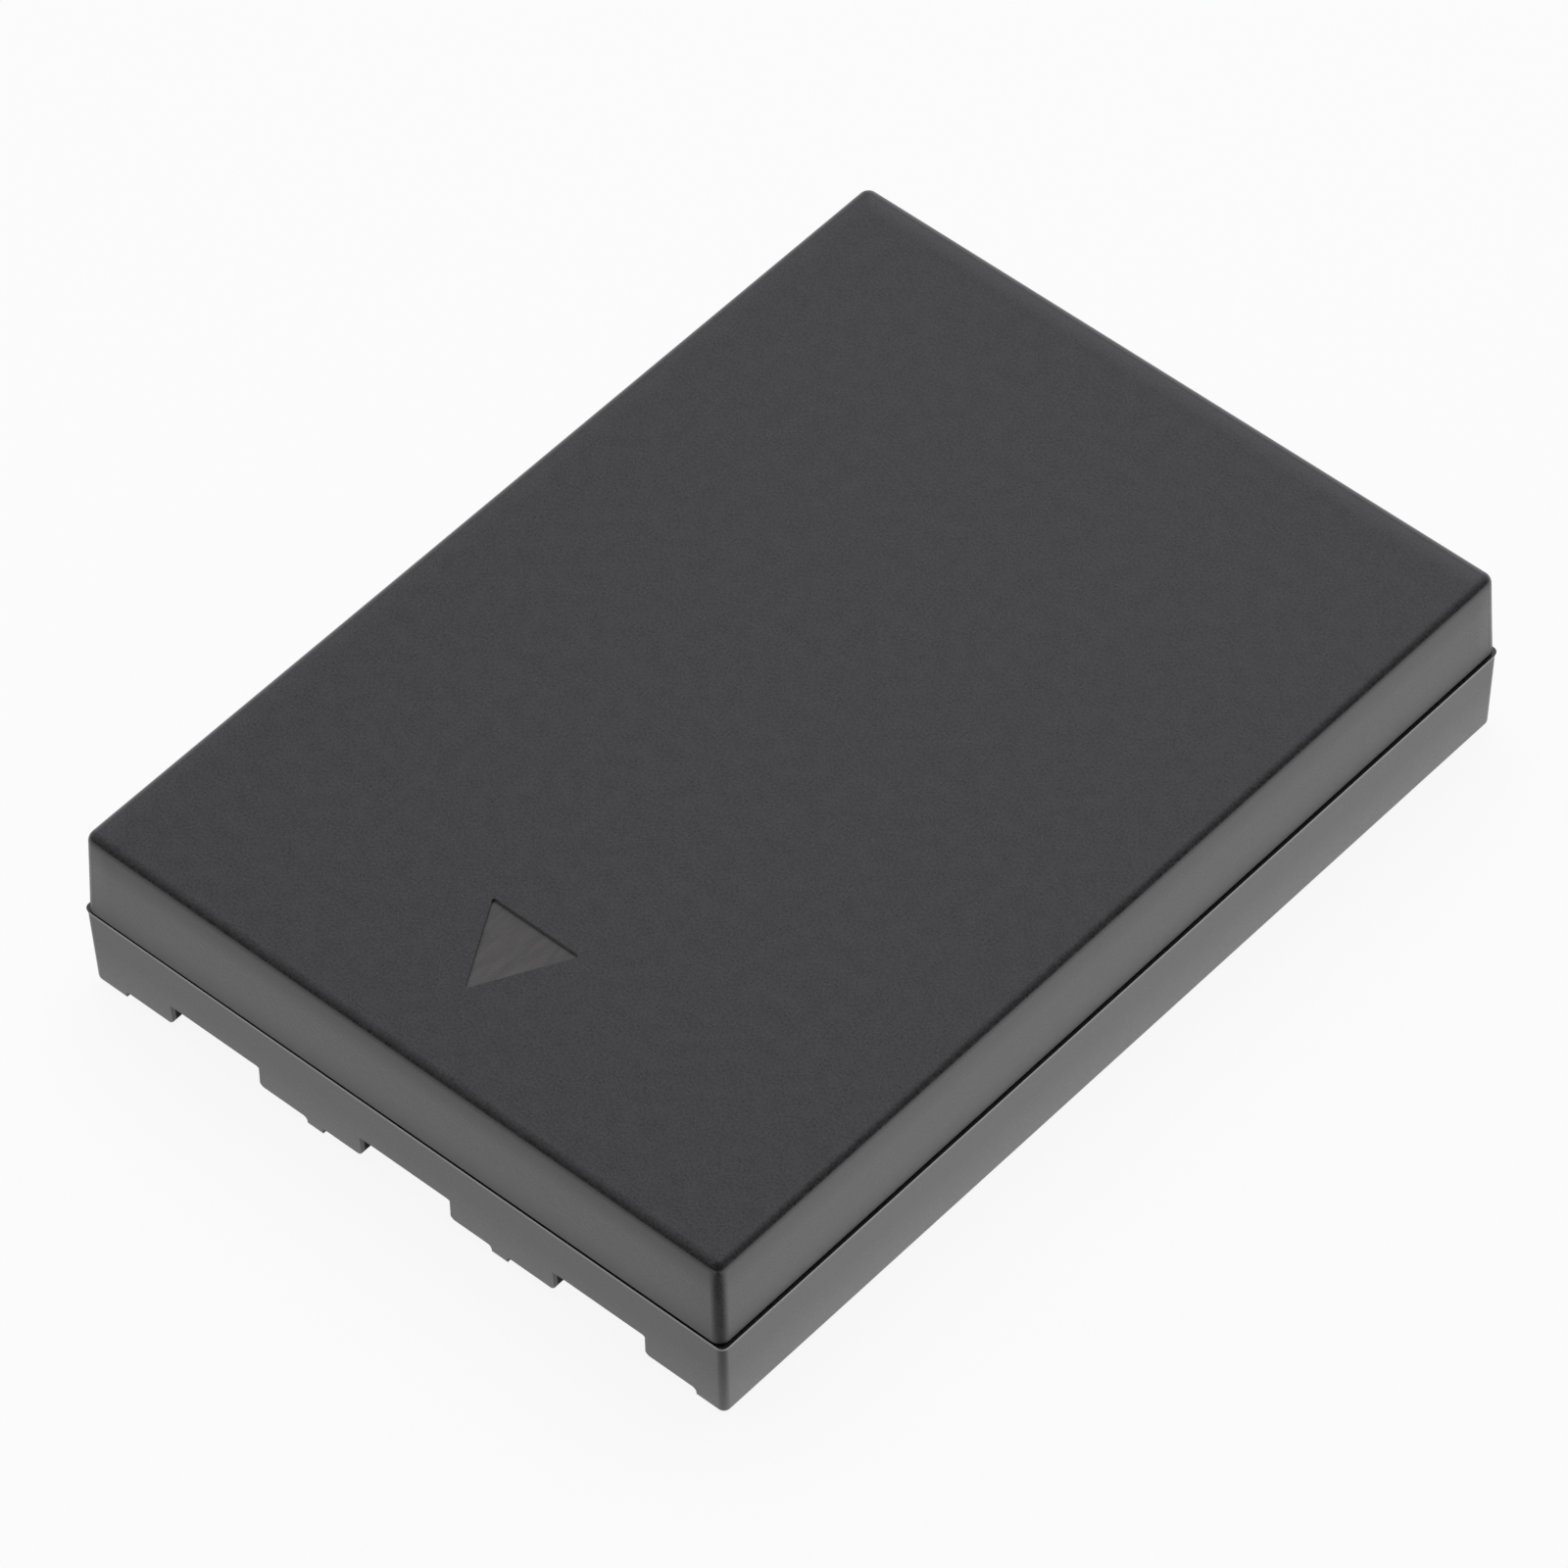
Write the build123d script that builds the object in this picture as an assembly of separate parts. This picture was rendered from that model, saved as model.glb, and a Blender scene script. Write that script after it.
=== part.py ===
from build123d import *
import math
import os

# Rechargeable battery pack for a compact camera, in millimetres.
# Frame: X across the width, Y along the length, Z up, with the contact end at -Y.
# The origin is the centre of the underside.

# Case envelope: length and width are those of the lower rim, where the case is widest
LENGTH = 44.88
WIDTH = 32.34
HEIGHT = 8.5
PARTING_HEIGHT = 4.13
UPPER_CORNER = 0.47
LOWER_CORNER = 0.32
UPPER_DRAFT = 1.8
LOWER_DRAFT = 1.7

# Case walls, in thickness at the parting line
WALL = 0.9
FLOOR = 0.7
ROOF = 0.7
INNER_CORNER_RADIUS = 0.5

# Edge rounds of the two trays
TOP_ROUND = 0.43
SKIRT_ROUND = 0.06
FOOT_ROUND = 0.26
LEAST_ROUND = 0.03

# Lap joint: a tongue of the upper tray stands on a ledge inside the lower rim
SIDE_STEP = 0.1
END_STEP = 0.02
TONGUE = 0.4
TONGUE_DEPTH = 0.8
LAP_CLEARANCE = 0.05

# Shadow gap between the two trays, which opens across the width
LEFT_GAP = 0.03
RIGHT_GAP = 0.09

# Thin lip that flares out at the top of the lower rim
LIP_REACH = 0.03
LIP_ANGLE = 11.0

# Triangle sunk in the roof, pointing to the contact end
ARROW_WIDTH = 4.4
ARROW_LENGTH = 3.95
ARROW_SETBACK = 3.94
ARROW_DEPTH = 0.13
ARROW_CORNER = 0.1

# Contact notches, open to the end and to the underside
NOTCH_WIDTH = 4.36
NOTCH_PITCH = 9.75
NOTCH_HEIGHT = 1.56
NOTCH_RUN = 4.6
NOTCH_WALL = 0.7
NOTCH_ROUND = 0.42
JAMB_ROUND = 0.24

# Shallow bays round the notches, with a foot at each corner and two ribs left standing
FOOT_WIDTH = 1.68
RIB_WIDTH = 0.8
RIB_INSET = 0.185
BAY_RUN = 5.6
BAY_DEPTH = 0.46
BAY_ROUND = 0.18
MOUTH_EDGE = 0.06
MOUTH_ANGLE = 45.0

# The feet, ribs and notches lie a little to +X of the middle
END_SHIFT = 0.12

# Contact blocks, seen through a window in each notch's ceiling
CONTACT_WIDTH = 3.3
CONTACT_LENGTH = 2.9
CONTACT_RECESS = 0.1
CONTACT_ROUND = 0.12
WINDOW_CLEARANCE = 0.1

# Circuit board over the notches
BOARD_THICKNESS = 0.8
BOARD_CORNER = 0.6
BOARD_CLEARANCE = 0.1
BOARD_BACK_CLEARANCE = 0.2

# Cell and its adhesive pads
CELL_CLEARANCE = 0.1
CELL_SIDE_RADIUS = 2.2
CELL_END_ROUND = 0.4
TAPE_THICKNESS = 0.15
TAPE_MARGIN = 3.0

# Card on the cell's end
CARD_THICKNESS = 0.2
CARD_MARGIN = 0.7
CARD_CORNER = 1.0
CARD_CLEARANCE = 0.2
SHELF_CLEARANCE = 0.4

# Minus terminal in the middle of the cell's end, on its seal
GASKET_WIDTH = 6.0
GASKET_HEIGHT = 2.8
GASKET_THICKNESS = 0.3
GASKET_BORDER = 0.3
TERMINAL_THICKNESS = 0.5
TERMINAL_CORNER = 0.4

# Thermal cut-off in the minus lead
CUTOFF_LENGTH = 4.0
CUTOFF_HEIGHT = 2.6
CUTOFF_SKIN = 0.12
CUTOFF_OFFSET = 1.2
CUTOFF_ROUND = 0.2
LEAD_HEIGHT = 2.0
LEAD_SPARE = 0.8

# Nickel tabs from the cell to the board
TAB_WIDTH = 2.6
TAB_THICKNESS = 0.15
TAB_FOOT = 2.2
TAB_BEND = 0.3

# Packages and chip parts, in a row on the board
PACKAGE_GAP = 0.8
PACKAGE_ROUND = 0.1
PROTECTION_WIDTH = 2.9
PROTECTION_DEPTH = 1.6
PROTECTION_HEIGHT = 1.05
LEG_WIDTH = 0.4
LEG_REACH = 0.55
LEG_THICKNESS = 0.16
LEG_PITCH = 0.95
SWITCH_SIZE = 3.0
SWITCH_HEIGHT = 0.85
THERMISTOR_LENGTH = 1.6
THERMISTOR_WIDTH = 0.8
CHIP_LENGTH = 1.0
CHIP_WIDTH = 0.5
CHIP_PITCH = 1.5
RESISTOR_HEIGHT = 0.35
CAPACITOR_HEIGHT = 0.5

# Levels of the case and the room inside it
UPPER_SLOPE = math.tan(math.radians(UPPER_DRAFT))
LOWER_SLOPE = math.tan(math.radians(LOWER_DRAFT))
LIP_SLOPE = math.tan(math.radians(LIP_ANGLE))
INNER_X = WIDTH / 2 - WALL
INNER_Y = LENGTH / 2 - WALL
LEDGE_LEVEL = PARTING_HEIGHT - TONGUE_DEPTH
SHOULDER_LEVEL = PARTING_HEIGHT + max(LEFT_GAP, RIGHT_GAP)
ROOF_LEVEL = HEIGHT - ROOF
CONTACT_END = -LENGTH / 2
NARROWING = max(LOWER_SLOPE * (PARTING_HEIGHT - FLOOR), UPPER_SLOPE * (ROOF_LEVEL - PARTING_HEIGHT))

# Places along the length, from the contact end to the cell
SHELF_BACK = CONTACT_END + max(BAY_RUN, NOTCH_RUN) + NOTCH_WALL
CARD_FACE = SHELF_BACK + SHELF_CLEARANCE
CELL_NEAR_END = CARD_FACE + CARD_THICKNESS
CELL_FAR_END = INNER_Y - NARROWING - CELL_CLEARANCE
TERMINAL_FACE = CELL_NEAR_END - GASKET_THICKNESS - TERMINAL_THICKNESS
LEAD_FACE = TERMINAL_FACE - TAB_THICKNESS
CUTOFF_FACE = LEAD_FACE - CUTOFF_SKIN

# Cell section
CELL_WIDTH = 2 * (INNER_X - NARROWING - CELL_CLEARANCE)
CELL_BOTTOM = FLOOR + TAPE_THICKNESS
CELL_TOP = ROOF_LEVEL - TAPE_THICKNESS
CELL_MIDDLE = (CELL_BOTTOM + CELL_TOP) / 2
LEAD_LOW = CELL_MIDDLE - LEAD_HEIGHT / 2
LEAD_HIGH = CELL_MIDDLE + LEAD_HEIGHT / 2

# Board, which lies on the hoods of the notches
BOARD_LEVEL = NOTCH_HEIGHT + NOTCH_WALL
BOARD_TOP = BOARD_LEVEL + BOARD_THICKNESS
BOARD_INSET = LOWER_SLOPE * (PARTING_HEIGHT - BOARD_LEVEL) + BOARD_CLEARANCE
BOARD_WIDTH = 2 * (INNER_X - BOARD_INSET)
BOARD_FRONT = -INNER_Y + BOARD_INSET
BOARD_BACK = CUTOFF_FACE - BOARD_BACK_CLEARANCE
BOARD_MIDDLE = (BOARD_FRONT + BOARD_BACK) / 2

# Places across the width
NOTCH_PLACES = [END_SHIFT - NOTCH_PITCH, END_SHIFT, END_SHIFT + NOTCH_PITCH]
RIB_PLACE = NOTCH_PITCH / 2 - RIB_INSET
CAPACITOR_PLACE = (CHIP_LENGTH + PACKAGE_GAP) / 2
RESISTOR_PLACE = -CAPACITOR_PLACE
SWITCH_PLACE = CAPACITOR_PLACE + CHIP_LENGTH / 2 + PACKAGE_GAP + SWITCH_SIZE / 2
PROTECTION_PLACE = RESISTOR_PLACE - CHIP_LENGTH / 2 - PACKAGE_GAP - PROTECTION_WIDTH / 2
THERMISTOR_PLACE = PROTECTION_PLACE - PROTECTION_WIDTH / 2 - PACKAGE_GAP - THERMISTOR_LENGTH / 2
PLUS_TAB_PLACE = THERMISTOR_PLACE - THERMISTOR_LENGTH / 2 - PACKAGE_GAP - TAB_WIDTH / 2
CUTOFF_START = GASKET_WIDTH / 2 + CUTOFF_OFFSET
CUTOFF_END = CUTOFF_START + CUTOFF_LENGTH
LEAD_END = CUTOFF_END + LEAD_SPARE + TAB_WIDTH
MINUS_TAB_PLACE = LEAD_END - TAB_WIDTH / 2


def block(x_from, x_to, y_from, y_to, z_from, z_to):
    """Plain block between two corners."""
    box = Box(x_to - x_from, y_to - y_from, z_to - z_from, align=(Align.MIN, Align.MIN, Align.MIN))
    return Pos(x_from, y_from, z_from) * box


def drawn(outline, wide_level, narrow_level, draft):
    """Solid that narrows by the draft from an outline at its wide level to its narrow level."""
    upright = extrude(outline, amount=abs(narrow_level - wide_level), taper=draft)
    if narrow_level < wide_level:
        upright = Rot(180, 0, 0) * upright
    return Pos(0, 0, wide_level) * upright


def outside(side_inset, end_inset, radius, wide_level, narrow_level, draft):
    """Drawn block inside the case's outline by two insets, with corners of one radius all the way."""
    outline = Rectangle(WIDTH - 2 * side_inset, LENGTH - 2 * end_inset)
    sharp = drawn(outline, wide_level, narrow_level, draft)
    return fillet(sharp.edges().group_by(Axis.Z)[1], radius)


def room(narrow_level, draft):
    """Room inside a tray, from the parting line to its floor or roof."""
    outline = RectangleRounded(2 * INNER_X, 2 * INNER_Y, INNER_CORNER_RADIUS)
    return drawn(outline, PARTING_HEIGHT, narrow_level, draft)


def straight_block(grow, z_from, z_to):
    """Round-cornered block with upright sides, grown from the room inside the case."""
    outline = RectangleRounded(2 * (INNER_X + grow), 2 * (INNER_Y + grow), INNER_CORNER_RADIUS + grow)
    return extrude(Pos(0, 0, z_from) * outline, amount=z_to - z_from)


def arrow_cut():
    """Triangle with soft corners, its point towards the contact end."""
    tip = CONTACT_END + ARROW_SETBACK
    base = tip + ARROW_LENGTH
    outline = Polygon((0, tip), (ARROW_WIDTH / 2, base), (-ARROW_WIDTH / 2, base), align=None)
    outline = fillet(outline.vertices(), ARROW_CORNER)
    return extrude(Pos(0, 0, HEIGHT - ARROW_DEPTH) * outline, amount=ARROW_DEPTH + ROOF)


def shadow_gap():
    """Wedge of air between the trays, from end to end."""
    left = (-WIDTH / 2, PARTING_HEIGHT + LEFT_GAP)
    right = (WIDTH / 2, PARTING_HEIGHT + RIGHT_GAP)
    wedge = Polygon((-WIDTH / 2, 0), (WIDTH / 2, 0), right, left, align=None)
    return extrude(Pos(0, LENGTH / 2, 0) * Rot(90, 0, 0) * wedge, amount=LENGTH, dir=(0, -1, 0))


def upper_case():
    """Upper tray: drafted skirt, rounded roof and corners, sunk triangle and the tongue of the lap joint."""
    shell = outside(SIDE_STEP, END_STEP, UPPER_CORNER, PARTING_HEIGHT, HEIGHT, UPPER_DRAFT)
    shell = fillet(shell.edges().group_by(Axis.Z)[-1], min(TOP_ROUND, UPPER_CORNER - LEAST_ROUND))
    shell -= shadow_gap()
    skirt = shell.faces().sort_by(Axis.Z)[0].edges()
    shell = fillet(skirt, min(SKIRT_ROUND, UPPER_CORNER - LEAST_ROUND))
    shell += straight_block(TONGUE, LEDGE_LEVEL, SHOULDER_LEVEL)
    shell -= straight_block(0, LEDGE_LEVEL, PARTING_HEIGHT)
    shell -= room(ROOF_LEVEL, UPPER_DRAFT)
    return shell - arrow_cut()


def run_in(profile, run, level):
    """Upright profile run in from beyond the contact end, with its mouth flared at the end face."""
    upright = Rot(90, 0, 0) * profile
    tunnel = extrude(Pos(0, CONTACT_END + run, 0) * upright, amount=run + WALL, dir=(0, -1, 0))
    face = CONTACT_END + LOWER_SLOPE * (PARTING_HEIGHT - level)
    mouth = Pos(0, face + MOUTH_EDGE, 0) * upright
    return tunnel + extrude(mouth, amount=2 * MOUTH_EDGE, dir=(0, -1, 0), taper=-MOUTH_ANGLE)


def bay_cut():
    """Comb that cuts the shallow bays and leaves the rounded ribs and feet between them."""
    half_span = WIDTH / 2 - FOOT_WIDTH
    comb = Pos(0, -FLOOR / 2) * Rectangle(2 * half_span + 2 * FLOOR, FLOOR)
    comb += Pos(0, BAY_DEPTH / 2) * Rectangle(2 * half_span, BAY_DEPTH)
    for side in (-1, 1):
        comb -= Pos(side * RIB_PLACE, BAY_DEPTH / 2) * Rectangle(RIB_WIDTH, BAY_DEPTH)
    corners = [v for v in comb.vertices() if v.Y > -FLOOR / 2 and abs(v.X) < half_span + FLOOR / 2]
    comb = fillet(corners, min(BAY_ROUND, (BAY_DEPTH - MOUTH_EDGE) / 2))
    return Pos(END_SHIFT, 0, 0) * run_in(comb, BAY_RUN, BAY_DEPTH)


def notch_cut():
    """Contact notch with a rounded mouth and rounded jambs, at the middle of the width."""
    tall = NOTCH_HEIGHT - BAY_DEPTH
    profile = Pos(0, BAY_DEPTH + tall / 2) * Rectangle(NOTCH_WIDTH, tall)
    profile += Pos(0, BAY_DEPTH / 2) * Rectangle(NOTCH_WIDTH + 4 * NOTCH_ROUND, BAY_DEPTH)
    inside = NOTCH_WIDTH / 2 + NOTCH_ROUND
    mouth = [v for v in profile.vertices() if abs(v.X) < inside and v.Y < BAY_DEPTH + tall / 2]
    notch = run_in(fillet(mouth, NOTCH_ROUND), NOTCH_RUN, NOTCH_HEIGHT)
    face = CONTACT_END + LOWER_SLOPE * (PARTING_HEIGHT - NOTCH_HEIGHT)
    plan = Pos(0, face) * Rectangle(NOTCH_WIDTH, 2 * WALL)
    plan += Pos(0, face - WALL / 2) * Rectangle(NOTCH_WIDTH + 4 * JAMB_ROUND, WALL)
    jambs = [v for v in plan.vertices() if abs(v.X) < inside and abs(v.Y - face) < WALL / 2]
    plan = fillet(jambs, JAMB_ROUND)
    return notch + extrude(plan, amount=NOTCH_HEIGHT)


def notch_hoods():
    """Raised floor over the bays, with a hood over each notch to carry the board."""
    hoods = block(-INNER_X, INNER_X, CONTACT_END, SHELF_BACK, FLOOR, BAY_DEPTH + FLOOR)
    half = NOTCH_WIDTH / 2 + NOTCH_WALL
    back = CONTACT_END + NOTCH_RUN + NOTCH_WALL
    for place in NOTCH_PLACES:
        hoods += block(place - half, place + half, CONTACT_END, back, FLOOR, BOARD_LEVEL)
    return hoods


def lower_case():
    """Lower tray: drafted wall, rim lip, lap ledge, and a stepped contact end with windowed notches."""
    shell = outside(LIP_REACH, LIP_REACH, LOWER_CORNER, PARTING_HEIGHT, 0, LOWER_DRAFT)
    shell = fillet(shell.edges().group_by(Axis.Z)[0], min(FOOT_ROUND, LOWER_CORNER - LEAST_ROUND))
    lip_foot = PARTING_HEIGHT - 2 * LIP_REACH / (LIP_SLOPE - LOWER_SLOPE)
    shell += outside(0, 0, LOWER_CORNER, PARTING_HEIGHT, lip_foot, LIP_ANGLE)
    shell -= bay_cut()
    shell -= room(FLOOR, LOWER_DRAFT) - notch_hoods()
    shell -= straight_block(TONGUE + LAP_CLEARANCE, LEDGE_LEVEL, SHOULDER_LEVEL)
    for place in NOTCH_PLACES:
        shell -= Pos(place, 0, 0) * notch_cut()
        shell -= Pos(place, 0, 0) * contact_block(WINDOW_CLEARANCE, NOTCH_HEIGHT, BOARD_LEVEL)
    return shell


def contact_block(margin, z_from, z_to):
    """Block of a contact's outline, grown by a margin, at the middle of the width."""
    half_x = CONTACT_WIDTH / 2 + margin
    half_y = CONTACT_LENGTH / 2 + margin
    middle = (BOARD_FRONT + CONTACT_END + NOTCH_RUN) / 2
    return block(-half_x, half_x, middle - half_y, middle + half_y, z_from, z_to)


def contact(place):
    """Contact soldered under the board, its face just inside the notch's ceiling."""
    pad = contact_block(0, NOTCH_HEIGHT + CONTACT_RECESS, BOARD_LEVEL)
    pad = fillet(pad.edges().group_by(Axis.Z)[0], CONTACT_ROUND)
    return Pos(place, 0, 0) * pad


def circuit_board():
    """Board with rounded corners."""
    outline = RectangleRounded(BOARD_WIDTH, BOARD_BACK - BOARD_FRONT, BOARD_CORNER)
    return extrude(Pos(0, BOARD_MIDDLE, BOARD_LEVEL) * outline, amount=BOARD_THICKNESS)


def end_plate(width, height, corner, face, back):
    """Round-cornered upright plate, between two places along the length."""
    outline = Pos(0, back, CELL_MIDDLE) * Rot(90, 0, 0) * RectangleRounded(width, height, corner)
    return extrude(outline, amount=back - face, dir=(0, -1, 0))


def cell_can():
    """Sealed can with rounded long sides and a drawn far end; the welded lid's end is sharp."""
    can = end_plate(CELL_WIDTH, CELL_TOP - CELL_BOTTOM, CELL_SIDE_RADIUS, CELL_NEAR_END, CELL_FAR_END)
    return fillet(can.edges().group_by(Axis.Y)[-1], CELL_END_ROUND)


def tape(z_from):
    """Adhesive pad on the flat of the cell, from its lower face up."""
    width = CELL_WIDTH - 2 * CELL_SIDE_RADIUS - 2 * TAPE_MARGIN
    depth = CELL_FAR_END - CELL_NEAR_END - 2 * TAPE_MARGIN
    middle = (CELL_FAR_END + CELL_NEAR_END) / 2
    return extrude(Pos(0, middle, z_from) * Rectangle(width, depth), amount=TAPE_THICKNESS)


def insulating_card():
    """Card with a hole round the terminal's seal and a cut for the plus tab."""
    width = CELL_WIDTH - 2 * CARD_MARGIN
    height = CELL_TOP - CELL_BOTTOM - 2 * CARD_MARGIN
    card = end_plate(width, height, CARD_CORNER, CARD_FACE, CELL_NEAR_END)
    hole_width = GASKET_WIDTH + 2 * CARD_CLEARANCE
    hole_height = GASKET_HEIGHT + 2 * CARD_CLEARANCE
    card -= end_plate(hole_width, hole_height, TERMINAL_CORNER, CARD_FACE, CELL_NEAR_END)
    left = PLUS_TAB_PLACE - TAB_WIDTH / 2 - CARD_CLEARANCE
    right = PLUS_TAB_PLACE + TAB_WIDTH / 2 + CARD_CLEARANCE
    return card - block(left, right, CARD_FACE, CELL_NEAR_END, CELL_BOTTOM, LEAD_HIGH + CARD_CLEARANCE)


def terminal_gasket():
    """Plastic seal under the terminal plate."""
    face = CELL_NEAR_END - GASKET_THICKNESS
    return end_plate(GASKET_WIDTH, GASKET_HEIGHT, TERMINAL_CORNER, face, CELL_NEAR_END)


def cell_terminal():
    """Terminal plate on its seal."""
    width = GASKET_WIDTH - 2 * GASKET_BORDER
    height = GASKET_HEIGHT - 2 * GASKET_BORDER
    back = CELL_NEAR_END - GASKET_THICKNESS
    return end_plate(width, height, TERMINAL_CORNER, TERMINAL_FACE, back)


def thermal_cutoff():
    """Cut-off on the card: one flat lead on the terminal, the other out to the minus tab."""
    low = CELL_MIDDLE - CUTOFF_HEIGHT / 2
    high = CELL_MIDDLE + CUTOFF_HEIGHT / 2
    body = block(CUTOFF_START, CUTOFF_END, CUTOFF_FACE, CARD_FACE, low, high)
    body = fillet(body.edges().filter_by(Axis.X), CUTOFF_ROUND)
    lead_start = GASKET_BORDER - GASKET_WIDTH / 2
    return body + block(lead_start, LEAD_END, LEAD_FACE, TERMINAL_FACE, LEAD_LOW, LEAD_HIGH)


def tab(place, back_face):
    """Strip that stands on a back face, bends over and lies on the board."""
    front_face = back_face - TAB_THICKNESS
    foot_top = BOARD_TOP + TAB_THICKNESS
    tip = front_face - TAB_BEND - TAB_FOOT
    outer = FilletPolyline(
        (back_face, LEAD_HIGH), (back_face, BOARD_TOP), (tip, BOARD_TOP), radius=TAB_BEND + TAB_THICKNESS
    )
    inner = FilletPolyline((tip, foot_top), (front_face, foot_top), (front_face, LEAD_HIGH), radius=TAB_BEND)
    section = make_face([outer, Line(outer @ 1, inner @ 0), inner, Line(inner @ 1, outer @ 0)])
    side = Plane(origin=(place - TAB_WIDTH / 2, 0, 0), x_dir=(0, 1, 0), z_dir=(1, 0, 0))
    return extrude(side * section, amount=TAB_WIDTH, dir=(1, 0, 0))


def on_board(place, middle, length, depth, height):
    """Block that stands on the board."""
    front = middle - depth / 2
    return block(place - length / 2, place + length / 2, front, front + depth, BOARD_TOP, BOARD_TOP + height)


def package(place, length, depth, height):
    """Moulded package with softened top edges, at the middle of the board's depth."""
    body = on_board(place, BOARD_MIDDLE, length, depth, height)
    return fillet(body.edges().group_by(Axis.Z)[-1], PACKAGE_ROUND)


def protection_chip():
    """Small package with three legs a side."""
    chip = package(PROTECTION_PLACE, PROTECTION_WIDTH, PROTECTION_DEPTH, PROTECTION_HEIGHT)
    span = PROTECTION_DEPTH + 2 * LEG_REACH
    for step in (-1, 0, 1):
        chip += on_board(PROTECTION_PLACE + step * LEG_PITCH, BOARD_MIDDLE, LEG_WIDTH, span, LEG_THICKNESS)
    return chip


def chip_pair(place, height):
    """Two chip parts, one behind the other."""
    middles = [BOARD_MIDDLE - CHIP_PITCH / 2, BOARD_MIDDLE + CHIP_PITCH / 2]
    return Compound(children=[on_board(place, middle, CHIP_LENGTH, CHIP_WIDTH, height) for middle in middles])


parts = {
    "upper_case": upper_case(),
    "lower_case": lower_case(),
    "cell_can": cell_can(),
    "terminal_gasket": terminal_gasket(),
    "cell_terminal": cell_terminal(),
    "thermal_cutoff": thermal_cutoff(),
    "insulating_card": insulating_card(),
    "circuit_board": circuit_board(),
    "contact_plus": contact(NOTCH_PLACES[0]),
    "contact_sense": contact(NOTCH_PLACES[1]),
    "contact_minus": contact(NOTCH_PLACES[2]),
    "protection_chip": protection_chip(),
    "switch_chip": package(SWITCH_PLACE, SWITCH_SIZE, SWITCH_SIZE, SWITCH_HEIGHT),
    "sense_thermistor": package(THERMISTOR_PLACE, THERMISTOR_LENGTH, THERMISTOR_WIDTH, THERMISTOR_WIDTH),
    "chip_resistors": chip_pair(RESISTOR_PLACE, RESISTOR_HEIGHT),
    "chip_capacitors": chip_pair(CAPACITOR_PLACE, CAPACITOR_HEIGHT),
    "plus_tab": tab(PLUS_TAB_PLACE, CELL_NEAR_END),
    "minus_tab": tab(MINUS_TAB_PLACE, LEAD_FACE),
    "upper_tape": tape(CELL_TOP),
    "lower_tape": tape(FLOOR),
}

os.makedirs("parts", exist_ok=True)
for name, shape in parts.items():
    export_step(shape, f"parts/{name}.step")
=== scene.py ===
"""Looks of a compact camera's battery pack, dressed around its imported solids."""

import logging
import math
from dataclasses import dataclass
from enum import Enum
from typing import ClassVar, List, Sequence, Tuple, Union

import bpy
from mathutils import Matrix, Vector

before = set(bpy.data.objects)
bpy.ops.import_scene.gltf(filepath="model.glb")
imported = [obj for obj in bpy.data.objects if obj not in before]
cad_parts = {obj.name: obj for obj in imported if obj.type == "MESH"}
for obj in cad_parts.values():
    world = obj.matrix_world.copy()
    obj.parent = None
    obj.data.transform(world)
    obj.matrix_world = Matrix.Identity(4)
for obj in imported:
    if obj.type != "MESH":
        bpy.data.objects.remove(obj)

LOG = logging.getLogger("camera_battery")
MM = 0.001

Colour = Tuple[float, float, float]
Point = Tuple[float, float, float]
Stop = Tuple[float, float]
Plug = Union[bpy.types.NodeSocket, float, Sequence[float]]

CHARCOAL: Colour = (0.022, 0.022, 0.0225)


class Slot(Enum):
    """Material slots of the record."""

    CASE = "case_plastic"
    CAN = "cell_aluminium"
    SEAL = "seal_plastic"
    NICKEL = "nickel"
    CARD = "card"
    BOARD = "board"
    GOLD = "contact_gold"
    PACKAGE = "package"
    CERAMIC = "chip_ceramic"
    TAPE = "tape"


class Lay(Enum):
    """Axis that drawn or brushed lines run along."""

    ACROSS = 0
    ALONG = 1
    UPRIGHT = 2


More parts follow.
